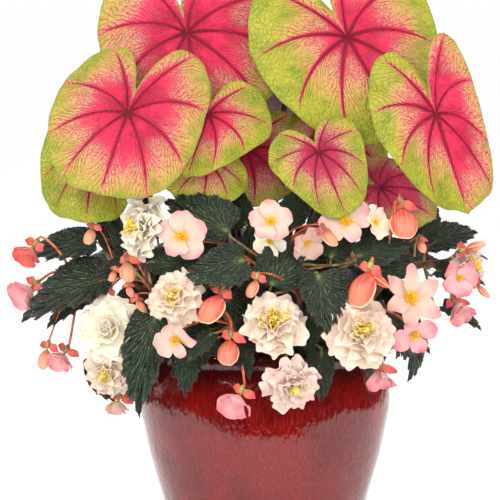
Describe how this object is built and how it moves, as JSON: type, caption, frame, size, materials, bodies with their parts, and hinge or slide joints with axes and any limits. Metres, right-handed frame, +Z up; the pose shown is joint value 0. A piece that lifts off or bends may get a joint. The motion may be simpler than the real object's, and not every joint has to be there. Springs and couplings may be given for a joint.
{
  "type": "potted begonia",
  "caption": "Glazed round pot planted with a caladium above a begonia in bloom, whole with its soil, standing on its flat foot.",
  "frame": {"origin": "centre of the pot's flat foot, on the surface that it stands on", "axes": "+Z up, -Y towards the front that the blooms and big leaves face, +X to the right seen from the front"},
  "size_m": [0.4976, 0.3756, 0.67],
  "materials": {
    "glaze": "oxblood red glaze, mottled and streaked, high gloss",
    "soil": "dark moist potting soil with bark",
    "caladium": "lime leaf with a crimson middle and veins, satin",
    "foliage": "dark blue-green serrated leaf with pale veins, satin",
    "white": "white petals with a green-yellow middle, soft sheen",
    "cream": "cream petals with a peach-yellow middle, soft sheen",
    "blush": "blush petals with paler middles, soft sheen",
    "pink": "pink petals, deeper at the edge, soft sheen",
    "coral": "coral closed petals, soft sheen",
    "stamen": "yellow grainy stamens, matte"
  },
  "bodies": {
    "root": {"caladium_leaf_a": "caladium", "caladium_leaf_b": "caladium", "caladium_leaf_c": "caladium", "caladium_leaf_d": "caladium", "caladium_leaf_e": "caladium", "caladium_leaf_f": "caladium", "caladium_leaf_g": "caladium", "caladium_leaf_h": "caladium", "caladium_leaf_i": "caladium", "caladium_leaf_j": "caladium", "caladium_leaf_l": "caladium", "caladium_leaf_k": "caladium", "caladium_leaf_m": "caladium", "caladium_leaf_n": "caladium", "rose_a": "white", "rose_b": "cream", "rose_c": "cream", "rose_d": "cream", "rose_e": "cream", "rose_f": "cream", "rose_g": "blush", "rose_h": "blush", "rose_i": "white", "rose_j": "cream", "bloom_a": "blush", "bloom_a_stamens": "stamen", "bloom_b": "blush", "bloom_b_stamens": "stamen", "bloom_c": "blush", "bloom_c_stamens": "stamen", "bloom_d": "pink", "bloom_e": "blush", "bloom_e_stamens": "stamen", "bloom_f": "blush", "bloom_f_stamens": "stamen", "bloom_g": "pink", "bloom_g_stamens": "stamen", "bloom_h": "pink", "bloom_i": "pink", "bloom_j": "blush", "bloom_k": "pink", "bloom_l": "pink", "bloom_m": "coral", "bloom_n": "pink", "bloom_o": "blush", "bud_a": "coral", "bud_c": "coral", "bud_d": "coral", "bud_e": "coral", "leafy_stem_left": "foliage", "leafy_stem_front_left": "foliage", "leafy_stem_front": "foliage", "leafy_stem_middle": "foliage", "leafy_stem_front_right": "foliage", "leafy_stem_right": "foliage", "leafy_stem_crown": "foliage", "leafy_stem_back_left": "foliage", "leafy_stem_back_right": "foliage", "pot": "glaze", "soil": "soil"}
  },
  "joints": []
}
